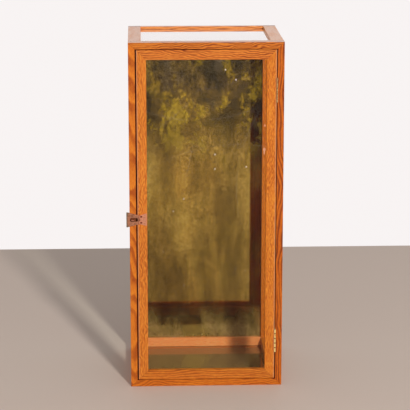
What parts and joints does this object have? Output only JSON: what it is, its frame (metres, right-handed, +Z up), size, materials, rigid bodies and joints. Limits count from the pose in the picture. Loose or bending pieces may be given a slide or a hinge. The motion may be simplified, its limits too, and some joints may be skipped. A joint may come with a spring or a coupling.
{
  "type": "display cabinet",
  "caption": "Tall glazed wooden display cabinet: mirror back, glass top, base and sides, a hinged glass door with brass butt hinges and a copper hasp and staple.",
  "frame": {"origin": "on the floor under the middle of the box round the whole cabinet, hasp and staple included", "axes": "+Z up, +Y from the door to the mirror, +X to the right as seen from the front"},
  "size_m": [0.444, 0.372, 1],
  "materials": {
    "pine_front": "oiled, satin",
    "pine_door": "oiled, satin",
    "pine_side": "oiled, satin",
    "pine_back": "oiled, satin",
    "pine_bead": "oiled, satin",
    "case_glass": "clear, a little dusty",
    "door_glass": "clear, lightly scratched",
    "aged_mirror": "aged, mottled gold brown",
    "fibre_board": "bare hardboard",
    "bright_steel": "plain wire",
    "hinge_brass": "bright, lightly worn",
    "dull_brass": "dulled",
    "hasp_copper": "copper, satin",
    "leaf_bronze": "copper, browned",
    "dark_screw": "browned",
    "staple_wire": "browned wire"
  },
  "bodies": {
    "case": {"front_bottom_rail": "pine_front", "front_top_rail": "pine_front", "front_left_post": "pine_front", "front_right_post": "pine_front", "top_left_rail": "pine_side", "top_right_rail": "pine_side", "base_left_rail": "pine_side", "base_right_rail": "pine_side", "back_left_stile": "pine_back", "back_right_stile": "pine_back", "back_bottom_rail": "pine_back", "back_top_rail": "pine_back", "top_glass": "case_glass", "base_glass": "case_glass", "left_glass": "case_glass", "right_glass": "case_glass", "back_mirror": "aged_mirror", "back_board": "fibre_board", "back_sprigs": "bright_steel", "lower_hinge_case_leaf": "hinge_brass", "lower_hinge_pin": "hinge_brass", "hinge_case_screws": "hinge_brass", "upper_hinge_case_leaf": "dull_brass", "upper_hinge_pin": "dull_brass", "staple": "staple_wire"},
    "door": {"door_bottom_rail": "pine_door", "door_top_rail": "pine_door", "door_left_stile": "pine_door", "door_right_stile": "pine_door", "door_bottom_bead": "pine_bead", "door_top_bead": "pine_bead", "door_left_bead": "pine_bead", "door_right_bead": "pine_bead", "door_glass": "door_glass", "lower_hinge_door_leaf": "hinge_brass", "upper_hinge_door_leaf": "dull_brass", "hinge_door_screws": "hinge_brass", "hasp_plate": "hasp_copper", "hasp_pin": "leaf_bronze", "hasp_screws": "dark_screw"},
    "hasp": {"hasp_leaf": "leaf_bronze"}
  },
  "joints": [
    {"name": "door_swing", "type": "hinge", "parent": "case", "child": "door", "pos_m": [0.202, -0.1764, 0.5], "axis": [0, 0, 1], "range_deg": [0, 180]},
    {"name": "hasp_swing", "type": "hinge", "parent": "door", "child": "hasp", "pos_m": [-0.185, -0.1762, 0.497], "axis": [0, 0, 1], "range_deg": [0, 180]}
  ]
}
